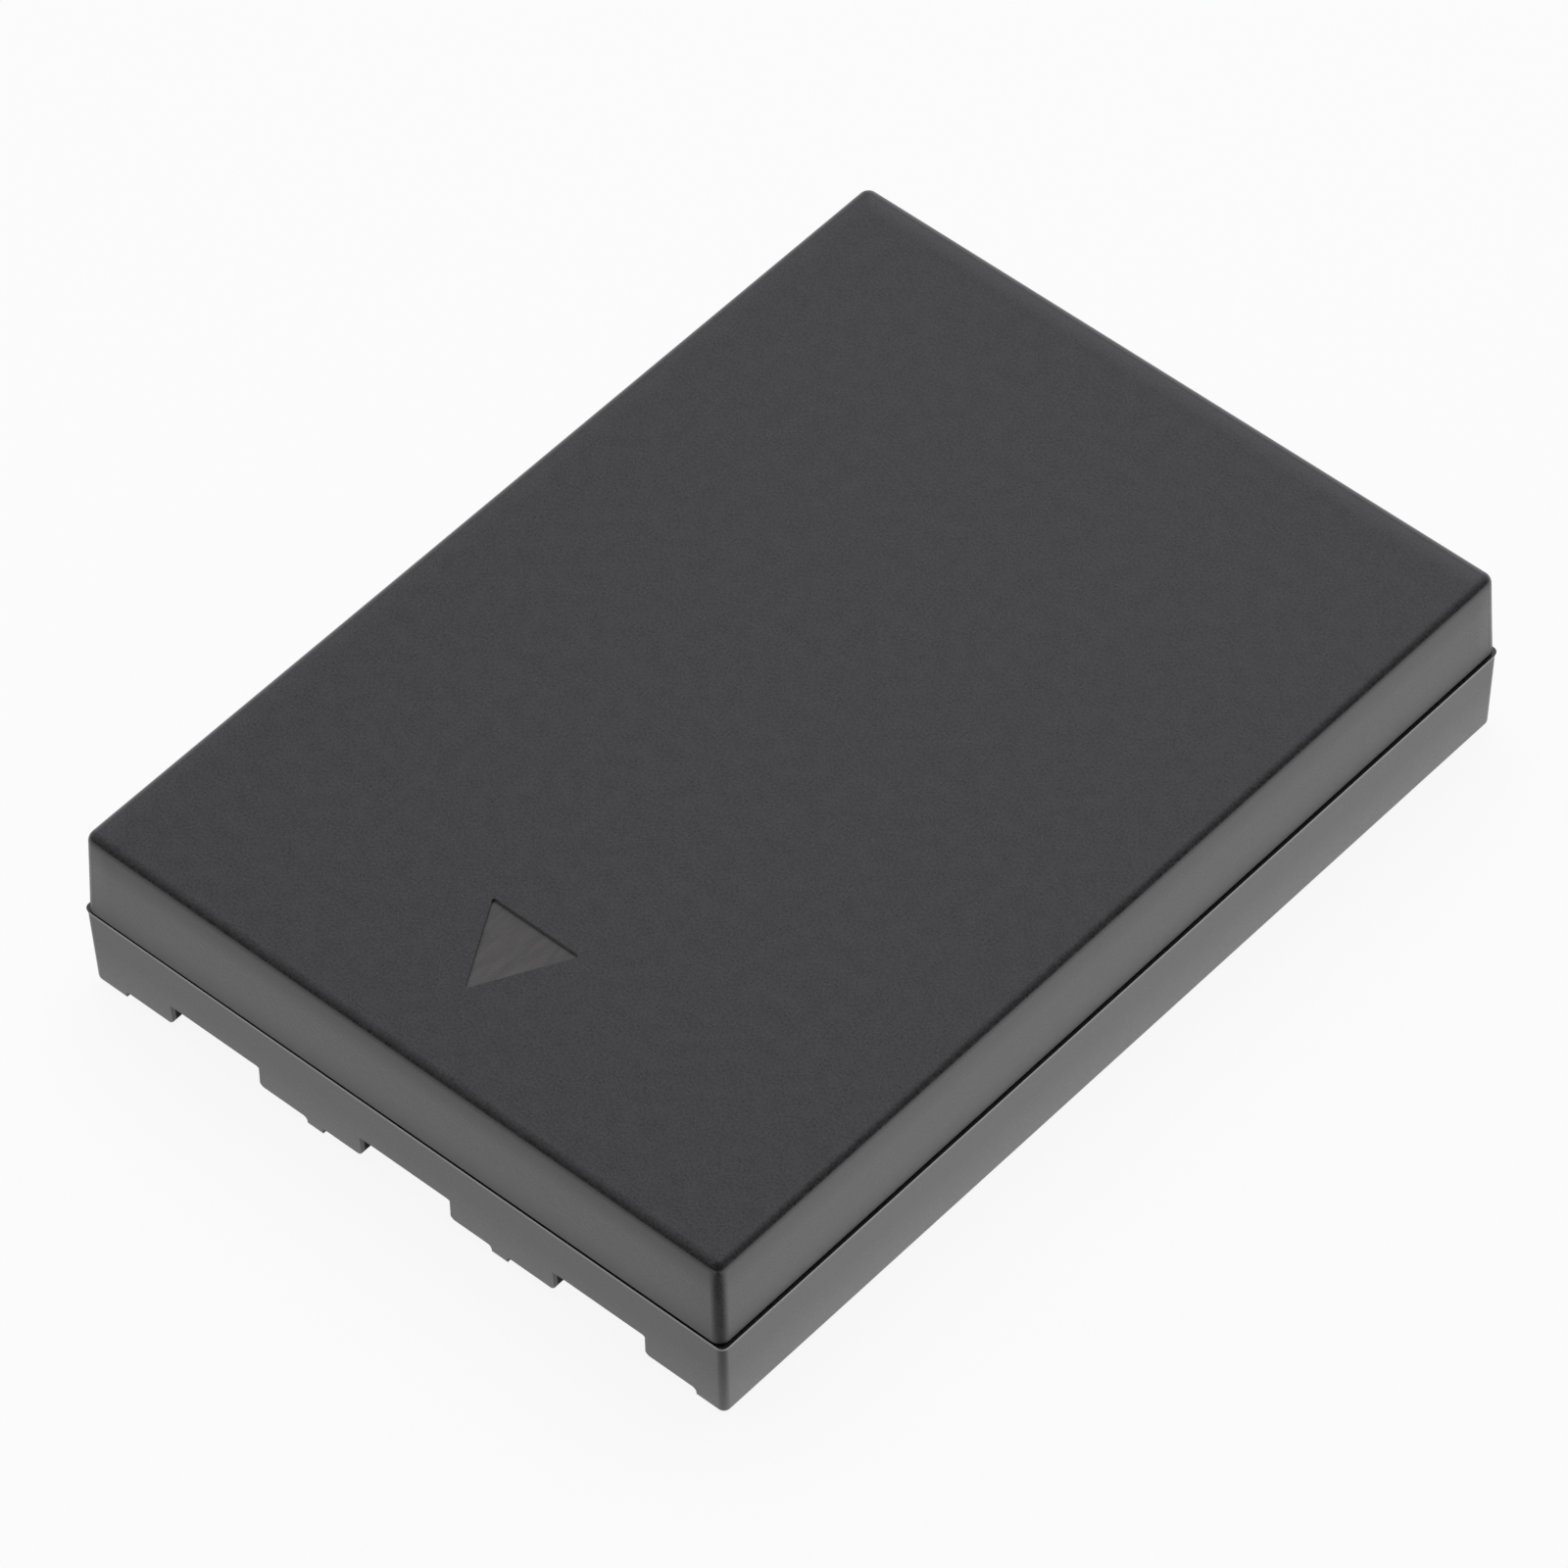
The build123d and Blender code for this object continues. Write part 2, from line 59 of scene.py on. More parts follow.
class NodeDesk:
    """A node tree and the short calls that fill it."""

    MIX_FIRST: ClassVar[int] = 6
    MIX_SECOND: ClassVar[int] = 7
    MIX_RESULT: ClassVar[int] = 2

    def __init__(self, tree: bpy.types.NodeTree) -> None:
        """Take an empty tree."""
        self.tree = tree

    def add(self, kind: str, **settings: object) -> bpy.types.Node:
        """Add a node.

        Args:
            kind: The node's type name.
            settings: Properties to set on it.

        Returns:
            The new node.
        """
        node = self.tree.nodes.new(kind)
        for name, value in settings.items():
            setattr(node, name, value)
        return node

    def feed(self, socket: bpy.types.NodeSocket, value: Plug) -> None:
        """Link a socket to another one, or set its plain value.

        Args:
            socket: What is fed.
            value: The other socket, or the plain value.
        """
        if isinstance(value, bpy.types.NodeSocket):
            self.tree.links.new(value, socket)
        else:
            socket.default_value = value

    def maths(self, operation: str, *values: Plug) -> bpy.types.NodeSocket:
        """Join values by one operation.

        Args:
            operation: Name of the Math node's operation.
            values: Its inputs in order.

        Returns:
            The result's socket.
        """
        node = self.add("ShaderNodeMath", operation=operation)
        for socket, value in zip(node.inputs, values):
            self.feed(socket, value)
        return node.outputs[0]

    def between(self, value: Plug, low: float, high: float, soft: float) -> bpy.types.NodeSocket:
        """Mask of where a value lies between two limits, with soft ends.

        Args:
            value: What is tested.
            low: Lower limit.
            high: Upper limit.
            soft: Width of each soft end.

        Returns:
            A mask from 0 to 1.
        """
        rise = self.spread(value, low - soft, low + soft)
        fall = self.spread(value, high + soft, high - soft)
        return self.maths("MULTIPLY", rise, fall)

    def spread(
        self, value: Plug, low: float, high: float, bottom: float = 0.0, top: float = 1.0
    ) -> bpy.types.NodeSocket:
        """Map a range of values to another one, held at its ends.

        Args:
            value: What is mapped.
            low: Value that gives bottom.
            high: Value that gives top.
            bottom: First result.
            top: Last result.

        Returns:
            The mapped value's socket.
        """
        node = self.add("ShaderNodeMapRange", clamp=True)
        for socket, number in zip(node.inputs, (value, low, high, bottom, top)):
            self.feed(socket, number)
        return node.outputs[0]

    def stops(self, value: Plug, stops: Sequence[Stop]) -> bpy.types.NodeSocket:
        """Map a value so that it runs straight from stop to stop, held at the ends.

        Args:
            value: What is mapped.
            stops: Places in rising order, each with its result.

        Returns:
            The result's socket, a grey.
        """
        first, last = stops[0][0], stops[-1][0]
        node = self.add("ShaderNodeValToRGB")
        ramp = node.color_ramp
        while len(ramp.elements) < len(stops):
            ramp.elements.new(1.0)
        for element, (place, result) in zip(ramp.elements, stops):
            element.position = (place - first) / (last - first)
            element.color = opaque((result, result, result))
        self.feed(node.inputs[0], self.spread(value, first, last))
        return node.outputs[0]

    def noise(
        self, where: Plug, scale: Plug, detail: float, roughness: float = 0.5
    ) -> bpy.types.NodeSocket:
        """Noise over the surface.

        Args:
            where: Coordinates in metres.
            scale: Cells in a metre.
            detail: Octaves.
            roughness: Share that each finer octave keeps.

        Returns:
            The noise, about 0.5 in the mean.
        """
        node = self.add("ShaderNodeTexNoise")
        self.feed(node.inputs["Vector"], where)
        self.feed(node.inputs["Scale"], scale)
        self.feed(node.inputs["Detail"], detail)
        self.feed(node.inputs["Roughness"], roughness)
        return node.outputs[0]

    def blend(self, share: Plug, first: Plug, second: Plug) -> bpy.types.NodeSocket:
        """Mix two colours.

        Args:
            share: Share of the second colour.
            first: Colour at 0.
            second: Colour at 1.

        Returns:
            The mixed colour's socket.
        """
        node = self.add("ShaderNodeMix", data_type="RGBA", clamp_factor=True)
        self.feed(node.inputs[0], share)
        self.feed(node.inputs[self.MIX_FIRST], first)
        self.feed(node.inputs[self.MIX_SECOND], second)
        return node.outputs[self.MIX_RESULT]

    def along(self, vector: Plug, direction: Point) -> bpy.types.NodeSocket:
        """How far a vector reaches along a direction.

        Args:
            vector: What is measured.
            direction: A unit vector.

        Returns:
            The reach's socket.
        """
        node = self.add("ShaderNodeVectorMath", operation="DOT_PRODUCT")
        self.feed(node.inputs[0], vector)
        self.feed(node.inputs[1], direction)
        return node.outputs["Value"]

    def group(self, tree: bpy.types.NodeTree, **values: Plug) -> bpy.types.Node:
        """Place a shared effect.

        Args:
            tree: The effect's group.
            values: Its inputs by name.

        Returns:
            The group node.
        """
        node = self.add("ShaderNodeGroup", node_tree=tree)
        for name, value in values.items():
            self.feed(node.inputs[name], value)
        return node


def opaque(colour: Colour) -> Tuple[float, float, float, float]:
    """Colour with a full alpha."""
    return (*colour, 1.0)


class Effects:
    """Shader node groups that several finishes share, each built once."""

    GRAIN_FINE: ClassVar[float] = 0.42
    GRAIN_RANGE: ClassVar[Tuple[float, float]] = (0.3, 0.7)
    GRAIN_OCTAVES: ClassVar[float] = 2.0
    FINE_CELLS: ClassVar[float] = 2.7
    FINE_OCTAVES: ClassVar[float] = 1.0
    CLOUD_CELLS: ClassVar[float] = 0.13
    LINE_RANGE: ClassVar[Tuple[float, float]] = (0.32, 0.68)
    LINE_OCTAVES: ClassVar[float] = 3.0
    HARSHNESS: ClassVar[float] = 0.6

    def __init__(self) -> None:
        """Build the groups."""
        self.grain = self.moulded_grain()
        self.lines = self.drawn_lines()

    @staticmethod
    def blank(
        name: str, inputs: Sequence[str], outputs: Sequence[str]
    ) -> Tuple[NodeDesk, bpy.types.Node, bpy.types.Node]:
        """Start a group.

        Args:
            name: Name of the group.
            inputs: Names of its number inputs, of which Where is a vector.
            outputs: Names of its number outputs.

        Returns:
            The desk of the group, its input node and its output node.
        """
        tree = bpy.data.node_groups.new(name, "ShaderNodeTree")
        for label in inputs:
            kind = "NodeSocketVector" if label == "Where" else "NodeSocketFloat"
            tree.interface.new_socket(name=label, in_out="INPUT", socket_type=kind)
        for label in outputs:
            tree.interface.new_socket(name=label, in_out="OUTPUT", socket_type="NodeSocketFloat")
        desk = NodeDesk(tree)
        return desk, desk.add("NodeGroupInput"), desk.add("NodeGroupOutput")

    def moulded_grain(self) -> bpy.types.NodeTree:
        """Fine spark-eroded grain of a moulded face.

        Returns:
            A group with a height for bump, a mottle for tone and a slower cloud.
        """
        outputs = ["Height", "Mottle", "Cloud"]
        desk, inside, out = self.blank("moulded_grain", ["Where", "Cells"], outputs)
        where, cells = inside.outputs[0], inside.outputs[1]
        fine_cells = desk.maths("MULTIPLY", cells, self.FINE_CELLS)
        cloud_cells = desk.maths("MULTIPLY", cells, self.CLOUD_CELLS)
        coarse = desk.noise(where, cells, self.GRAIN_OCTAVES, self.HARSHNESS)
        fine = desk.noise(where, fine_cells, self.FINE_OCTAVES)
        cloud = desk.noise(where, cloud_cells, self.GRAIN_OCTAVES)
        share = desk.maths("MULTIPLY", fine, self.GRAIN_FINE)
        desk.feed(out.inputs[0], desk.maths("MULTIPLY_ADD", coarse, 1.0 - self.GRAIN_FINE, share))
        desk.feed(out.inputs[1], desk.spread(coarse, *self.GRAIN_RANGE))
        desk.feed(out.inputs[2], desk.spread(cloud, *self.GRAIN_RANGE))
        return desk.tree

    def drawn_lines(self) -> bpy.types.NodeTree:
        """Fine lines along one axis, as drawing, rolling or brushing leaves.

        Returns:
            A group with the lines' height and their tone.
        """
        inputs = ["Where", "Across", "Along"]
        desk, inside, out = self.blank("drawn_lines", inputs, ["Height", "Tone"])
        stretched = desk.add("ShaderNodeVectorMath", operation="MULTIPLY")
        scales = desk.add("ShaderNodeCombineXYZ")
        desk.feed(scales.inputs[0], inside.outputs[2])
        desk.feed(scales.inputs[1], inside.outputs[1])
        desk.feed(scales.inputs[2], inside.outputs[1])
        desk.feed(stretched.inputs[0], inside.outputs[0])
        desk.feed(stretched.inputs[1], scales.outputs[0])
        lines = desk.noise(stretched.outputs[0], 1.0, self.LINE_OCTAVES, self.HARSHNESS)
        desk.feed(out.inputs[0], lines)
        desk.feed(out.inputs[1], desk.spread(lines, *self.LINE_RANGE))
        return desk.tree


class Coat:
    """A material under way: its desk, its shader and its coordinates in metres."""

    def __init__(self, name: str, roughness: float, metallic: float, ior: float) -> None:
        """Start a material with one Principled shader.

        Args:
            name: Name of the material.
            roughness: Plain roughness.
            metallic: Plain metallic value.
            ior: Index of refraction.
        """
        self.material = bpy.data.materials.new(name)
        self.material.use_nodes = True
        self.desk = NodeDesk(self.material.node_tree)
        self.desk.tree.nodes.clear()
        self.shader = self.desk.add("ShaderNodeBsdfPrincipled")
        surface = self.desk.add("ShaderNodeOutputMaterial")
        self.desk.feed(surface.inputs["Surface"], self.shader.outputs[0])
        self.put("Roughness", roughness)
        self.put("Metallic", metallic)
        self.put("IOR", ior)
        self.where = self.desk.add("ShaderNodeTexCoord").outputs["Object"]

    def put(self, socket: str, value: Plug) -> None:
        """Feed one of the shader's sockets."""
        self.desk.feed(self.shader.inputs[socket], value)

    def fed(self, socket: str) -> bpy.types.NodeSocket:
        """What feeds one of the shader's sockets so far."""
        return self.shader.inputs[socket].links[0].from_socket

    def axes(self) -> bpy.types.NodeOutputs:
        """Take the coordinates apart.

        Returns:
            The three coordinates in metres, one socket each.
        """
        parts = self.desk.add("ShaderNodeSeparateXYZ")
        self.desk.feed(parts.inputs[0], self.where)
        return parts.outputs

    def lying(self, lay: Lay) -> bpy.types.NodeSocket:
        """Coordinates in which lines along the first axis run along the lay.

        Args:
            lay: Axis that the lines run along.

        Returns:
            The coordinates, with the lay's axis and the first one swapped.
        """
        order = [Lay.ACROSS, Lay.ALONG, Lay.UPRIGHT]
        order[0], order[lay.value] = order[lay.value], order[0]
        places = self.axes()
        joined = self.desk.add("ShaderNodeCombineXYZ")
        for socket, axis in zip(joined.inputs, order):
            self.desk.feed(socket, places[axis.value])
        return joined.outputs[0]

    def bump(self, height: Plug, depth: float) -> None:
        """Raise the surface, on top of earlier bumps.

        Args:
            height: The height as a share of the depth.
            depth: Depth of a height of 1, in metres.
        """
        node = self.desk.add("ShaderNodeBump")
        for link in self.shader.inputs["Normal"].links:
            self.desk.feed(node.inputs["Normal"], link.from_socket)
        self.desk.feed(node.inputs["Height"], height)
        self.desk.feed(node.inputs["Distance"], depth)
        self.put("Normal", node.outputs[0])


@dataclass(frozen=True)
class MouldedPlastic:
    """Moulded plastic with a fine grain."""

    name: str
    colour: Colour
    roughness: float
    ior: float = 1.5
    cells: float = 10000.0
    depth: float = 1.6e-6
    mottle: float = 0.25
    cloud: float = 0.2
    unevenness: float = 0.04

    def coat(self, effects: Effects) -> Coat:
        """Mix the plastic.

        Args:
            effects: The shared groups.

        Returns:
            The coat, so that a sub-assembly can add its own marks.
        """
        coat = Coat(self.name, self.roughness, 0.0, self.ior)
        desk = coat.desk
        grain = desk.group(effects.grain, Where=coat.where, Cells=self.cells)
        fine = desk.maths("MULTIPLY", grain.outputs["Mottle"], 1.0 - self.cloud)
        speck = desk.maths("MULTIPLY_ADD", grain.outputs["Cloud"], self.cloud, fine)
        pale = tuple(c * (1.0 + self.mottle) for c in self.colour)
        dark = tuple(c * (1.0 - self.mottle) for c in self.colour)
        coat.put("Base Color", desk.blend(speck, opaque(dark), opaque(pale)))
        smooth, rough = self.roughness - self.unevenness, self.roughness + self.unevenness
        coat.put("Roughness", desk.spread(speck, 0.0, 1.0, smooth, rough))
        coat.bump(grain.outputs["Height"], self.depth)
        return coat

    def material(self, effects: Effects) -> bpy.types.Material:
        """The plain plastic's material."""
        return self.coat(effects).material


@dataclass(frozen=True)
class DrawnMetal:
    """Drawn, rolled or plated metal with fine lines."""

    name: str
    colour: Colour
    roughness: float
    lay: Lay = Lay.ALONG
    ior: float = 1.5
    across: float = 16000.0
    along: float = 500.0
    depth: float = 0.8e-6
    dull_tone: float = 0.82
    dull_roughness: float = 1.2
    bright_roughness: float = 0.85

    def material(self, effects: Effects) -> bpy.types.Material:
        """Mix the metal.

        Args:
            effects: The shared groups.

        Returns:
            The material.
        """
        coat = Coat(self.name, self.roughness, 1.0, self.ior)
        where = coat.lying(self.lay)
        lines = coat.desk.group(effects.lines, Where=where, Across=self.across, Along=self.along)
        tone = lines.outputs["Tone"]
        dull = tuple(c * self.dull_tone for c in self.colour)
        coat.put("Base Color", coat.desk.blend(tone, opaque(dull), opaque(self.colour)))
        rough, smooth = self.roughness * self.dull_roughness, self.roughness * self.bright_roughness
        coat.put("Roughness", coat.desk.spread(tone, 0.0, 1.0, rough, smooth))
        coat.bump(lines.outputs["Height"], self.depth)
        return coat.material


@dataclass(frozen=True)
class SolderMask:
    """Green lacquer over copper tracks."""

    name: str
    colour: Colour
    track: Colour
    roughness: float = 0.28
    ior: float = 1.5
    pitch: float = 1.3 * MM
    width: float = 0.5 * MM
    soft: float = 0.05 * MM
    height: float = 18e-6
    wander_cells: float = 180.0
    grain_cells: float = 4000.0
    grain_share: float = 0.1

    def material(self, effects: Effects) -> bpy.types.Material:
        """Mix the lacquered board.

        Args:
            effects: The shared groups.

        Returns:
            The material.
        """
        coat = Coat(self.name, self.roughness, 0.0, self.ior)
        desk = coat.desk
        drift = desk.noise(coat.where, self.wander_cells, 0.0)
        wander = desk.spread(drift, 0.0, 1.0, -self.pitch, self.pitch)
        lane = desk.maths("PINGPONG", desk.maths("ADD", coat.axes()[1], wander), self.pitch / 2)
        track = desk.spread(lane, self.width / 2 + self.soft, self.width / 2)
        coat.put("Base Color", desk.blend(track, opaque(self.colour), opaque(self.track)))
        grain = desk.group(effects.grain, Where=coat.where, Cells=self.grain_cells)
        raised = desk.maths("MULTIPLY_ADD", grain.outputs["Height"], self.grain_share, track)
        coat.bump(raised, self.height)
        return coat.material


@dataclass(frozen=True)
class PressedFibre:
    """Card or adhesive pad, matt and slightly uneven."""

    name: str
    colour: Colour
    roughness: float = 0.85
    ior: float = 1.45
    cells: float = 5200.0
    depth: float = 8e-6
    dark_tone: float = 0.86

    def material(self, effects: Effects) -> bpy.types.Material:
        """Mix the fibre.

        Args:
            effects: The shared groups.

        Returns:
            The material.
        """
        coat = Coat(self.name, self.roughness, 0.0, self.ior)
        grain = coat.desk.group(effects.grain, Where=coat.where, Cells=self.cells)
        mottle = grain.outputs["Mottle"]
        dark = tuple(c * self.dark_tone for c in self.colour)
        coat.put("Base Color", coat.desk.blend(mottle, opaque(dark), opaque(self.colour)))
        coat.bump(grain.outputs["Height"], self.depth)
        return coat.material


def dress(nodes: Sequence[str], material: bpy.types.Material) -> None:
    """Put a material on CAD nodes and report each.

    Args:
        nodes: Names of the nodes.
        material: What they get.
    """
    for name in nodes:
        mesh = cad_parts[name].data
        mesh.materials.clear()
        mesh.materials.append(material)
        LOG.info("%s: %s", name, material.name)


@dataclass
class CaseTrays:
    """The two moulded trays of the case."""

    roof: float = 8.5 * MM
    arrow_depth: float = 0.13 * MM
    arrow_half_width: float = 2.3 * MM
    arrow_tip: float = -18.55 * MM
    arrow_base: float = -14.55 * MM
    roof_half: Tuple[float, float] = (15.5 * MM, 21.85 * MM)
    fall_reach: float = 0.8 * MM
    fall_depth: float = 0.045 * MM
    shoulder: float = 8.07 * MM
    shoulder_reach: float = 1.2 * MM
    shoulder_soft: float = 0.1 * MM
    shoulder_depth: float = 0.06 * MM
    foot_reach: float = 2.6 * MM
    foot_depth: float = 0.125 * MM
    seam: float = 4.13 * MM
    skirt_reach: float = 1.7 * MM
    skirt_roughness: float = 0.22
    lip_reach: float = 0.2 * MM
    lip_coat: float = 0.6
    lip_roughness: float = 0.25
    upper_plastic: MouldedPlastic = MouldedPlastic(
        Slot.CASE.value, CHARCOAL, 0.3, ior=1.8, depth=3.2e-6, mottle=0.95, unevenness=0.08
    )
    lower_plastic: MouldedPlastic = MouldedPlastic(
        Slot.CASE.value, CHARCOAL, 0.3, ior=1.8, depth=1.6e-6, mottle=0.6, unevenness=0.05
    )
    arrow_soft: float = 0.02 * MM
    arrow_edge: float = 0.005 * MM
    arrow_across: float = 3600.0
    arrow_along: float = 700.0
    arrow_line_share: float = 0.7
    arrow_tip_share: float = 0.4
    arrow_dull: Colour = (0.047, 0.044, 0.042)
    arrow_pale: Colour = (0.086, 0.08, 0.075)
    arrow_wall_painted_light: Colour = (0.45, 0.44, 0.43)

    def mark_arrow(self, coat: Coat, effects: Effects) -> None:
        """Leave the arrow pale and milled along its length, palest at its tip, with painted light
        on the wall at its base: a pale colour in place of the light that wall would catch.

        Args:
            coat: The upper tray's plastic.
            effects: The shared groups.
        """
        desk = coat.desk
        across, along, up = coat.axes()
        floor, soft = self.roof - self.arrow_depth, self.arrow_soft
        level = desk.between(up, floor - soft, self.roof - soft, self.arrow_edge)
        reach = desk.between(along, self.arrow_tip - soft, self.arrow_base + soft, self.arrow_edge)
        width = desk.between(across, -self.arrow_half_width, self.arrow_half_width, soft)
        mask = desk.maths("MULTIPLY", level, desk.maths("MULTIPLY", reach, width))
        cells = {"Across": self.arrow_across, "Along": self.arrow_along}
        lines = desk.group(effects.lines, Where=coat.lying(Lay.ALONG), **cells)
        tip = desk.spread(along, self.arrow_base, self.arrow_tip, 0.0, self.arrow_tip_share)
        tone = desk.maths("MULTIPLY_ADD", lines.outputs["Tone"], self.arrow_line_share, tip)
        milled = desk.blend(tone, opaque(self.arrow_dull), opaque(self.arrow_pale))
        # Painted light: the cut wall at the arrow's base gets a pale colour in place of the light
        # it would catch.
        risen = desk.spread(up, floor, floor + soft)
        painted_light_base_wall = desk.spread(along, self.arrow_base - soft, self.arrow_base - soft / 2)
        pale = desk.blend(desk.maths("MULTIPLY", risen, painted_light_base_wall), milled, opaque(self.arrow_wall_painted_light))
        coat.put("Base Color", desk.blend(mask, coat.fed("Base Color"), pale))

    def ease_roof_edge(self, coat: Coat) -> None:
        """Let the roof fall off a little towards its far edges, at -X and +Y.

        Args:
            coat: The upper tray's plastic.
        """
        desk = coat.desk
        across, along, _ = coat.axes()
        side = desk.maths("ADD", self.roof_half[0], across)
        end = desk.maths("SUBTRACT", self.roof_half[1], along)
        self.fall_off(coat, desk.maths("MINIMUM", side, end), self.fall_reach, self.fall_depth)

    def ease_shoulder(self, coat: Coat) -> None:
        """Let the upper walls lean in a little before the round of the roof's edge.

        Args:
            coat: The upper tray's plastic.
        """
        desk = coat.desk
        up = coat.axes()[2]
        near = desk.spread(up, self.shoulder - self.shoulder_reach, self.shoulder)
        left = desk.spread(up, self.shoulder, self.shoulder + self.shoulder_soft, 1.0, 0.0)
        lean = desk.maths("MULTIPLY", near, near)
        tail_share = self.shoulder_soft / self.shoulder_reach
        tail = desk.maths("MULTIPLY", desk.maths("MULTIPLY", left, left), tail_share)
        coat.bump(desk.maths("SUBTRACT", tail, lean), self.shoulder_depth)

    def dull_skirt(self, coat: Coat) -> None:
        """Leave the upper walls duller and duller towards the seam.

        Args:
            coat: The upper tray's plastic.
        """
        desk = coat.desk
        near = desk.spread(coat.axes()[2], self.seam, self.seam + self.skirt_reach, 1.0, 0.0)
        share = desk.maths("MULTIPLY", near, near)
        duller = desk.maths("MULTIPLY_ADD", share, self.skirt_roughness, coat.fed("Roughness"))
        coat.put("Roughness", duller)

    def polish_lip(self, coat: Coat) -> None:
        """Leave the lip of the lower tray brighter than its walls.

        Args:
            coat: The lower tray's plastic.
        """
        start, up = self.seam - self.lip_reach, coat.axes()[2]
        coat.put("Coat Weight", coat.desk.spread(up, start, self.seam, 0.0, self.lip_coat))
        coat.put("Coat Roughness", self.lip_roughness)

    def ease_foot(self, coat: Coat) -> None:
        """Let the lower walls curve in a little towards their foot."""
        self.fall_off(coat, coat.axes()[2], self.foot_reach, self.foot_depth)

    @staticmethod
    def fall_off(coat: Coat, border: Plug, reach: float, depth: float) -> None:
        """Sink the surface more and more towards a border.

        Args:
            coat: The plastic.
            border: Distance from the border in metres.
            reach: Distance at which the surface starts to sink.
            depth: How far it sinks at the border.
        """
        desk = coat.desk
        fall = desk.spread(border, 0.0, reach, 1.0, 0.0)
        coat.bump(desk.maths("SUBTRACT", 1.0, desk.maths("MULTIPLY", fall, fall)), depth)

    def dress(self, effects: Effects) -> None:
        """Dress both trays.

        Args:
            effects: The shared groups.
        """
        upper = self.upper_plastic.coat(effects)
        self.mark_arrow(upper, effects)
        self.ease_roof_edge(upper)
        self.ease_shoulder(upper)
        self.dull_skirt(upper)
        dress(["upper_case"], upper.material)
        lower = self.lower_plastic.coat(effects)
        self.ease_foot(lower)
        self.polish_lip(lower)
        dress(["lower_case"], lower.material)


@dataclass
class CellStack:
    """The cell, its pads and what is welded to its end."""

    can: DrawnMetal = DrawnMetal(Slot.CAN.value, (0.72, 0.72, 0.73), 0.36)
    nickel: DrawnMetal = DrawnMetal(Slot.NICKEL.value, (0.6, 0.58, 0.54), 0.3, Lay.ACROSS)
    seal: MouldedPlastic = MouldedPlastic(Slot.SEAL.value, (0.05, 0.05, 0.055), 0.5)
    card: PressedFibre = PressedFibre(Slot.CARD.value, (0.5, 0.44, 0.32))
    tape: PressedFibre = PressedFibre(Slot.TAPE.value, (0.74, 0.72, 0.64), 0.6)

    def dress(self, effects: Effects) -> None:
        """Dress the cell and its leads.

        Args:
            effects: The shared groups.
        """
        dress(["cell_can"], self.can.material(effects))
        leads = ["cell_terminal", "thermal_cutoff", "plus_tab", "minus_tab"]
        dress(leads, self.nickel.material(effects))
        dress(["terminal_gasket"], self.seal.material(effects))
        dress(["insulating_card"], self.card.material(effects))
        dress(["upper_tape", "lower_tape"], self.tape.material(effects))


@dataclass
class ProtectionBoard:
    """The circuit board, its packages and its contacts."""

    mask: SolderMask = SolderMask(Slot.BOARD.value, (0.02, 0.13, 0.07), (0.04, 0.2, 0.09))
    package: MouldedPlastic = MouldedPlastic(Slot.PACKAGE.value, (0.025, 0.025, 0.027), 0.55)
    ceramic: MouldedPlastic = MouldedPlastic(Slot.CERAMIC.value, (0.42, 0.31, 0.22), 0.45)
    gold: DrawnMetal = DrawnMetal(Slot.GOLD.value, (0.83, 0.62, 0.26), 0.26, Lay.ALONG)

    def dress(self, effects: Effects) -> None:
        """Dress the board and what it carries.

        Args:
            effects: The shared groups.
        """
        dress(["circuit_board"], self.mask.material(effects))
        dress(["protection_chip", "switch_chip", "chip_resistors"], self.package.material(effects))
        dress(["sense_thermistor", "chip_capacitors"], self.ceramic.material(effects))
        dress(["contact_plus", "contact_sense", "contact_minus"], self.gold.material(effects))


@dataclass
class OverheadLamp:
    """Soft square lamp over the pack, kept out of reflections.

    Its light is how bright it leaves a white face that faces it, where 1 is white.
    """

    place: Point = (-0.06, 0.08, 0.45)
    side: float = 0.4
    light: float = 0.55

    def build(self) -> bpy.types.Object:
        """Make the lamp.

        Returns:
            The lamp's object.
        """
        data = bpy.data.lights.new("overhead_lamp", "AREA")
        data.shape = "SQUARE"
        data.size = self.side
        reach = Vector(self.place)
        data.energy = self.light * math.pi**2 * reach.length_squared
        lamp = bpy.data.objects.new("overhead_lamp", data)
        lamp.location = reach
        lamp.rotation_euler = (-reach).to_track_quat("-Z", "Y").to_euler()
        lamp.visible_glossy = False
        bpy.context.scene.collection.objects.link(lamp)
        return lamp


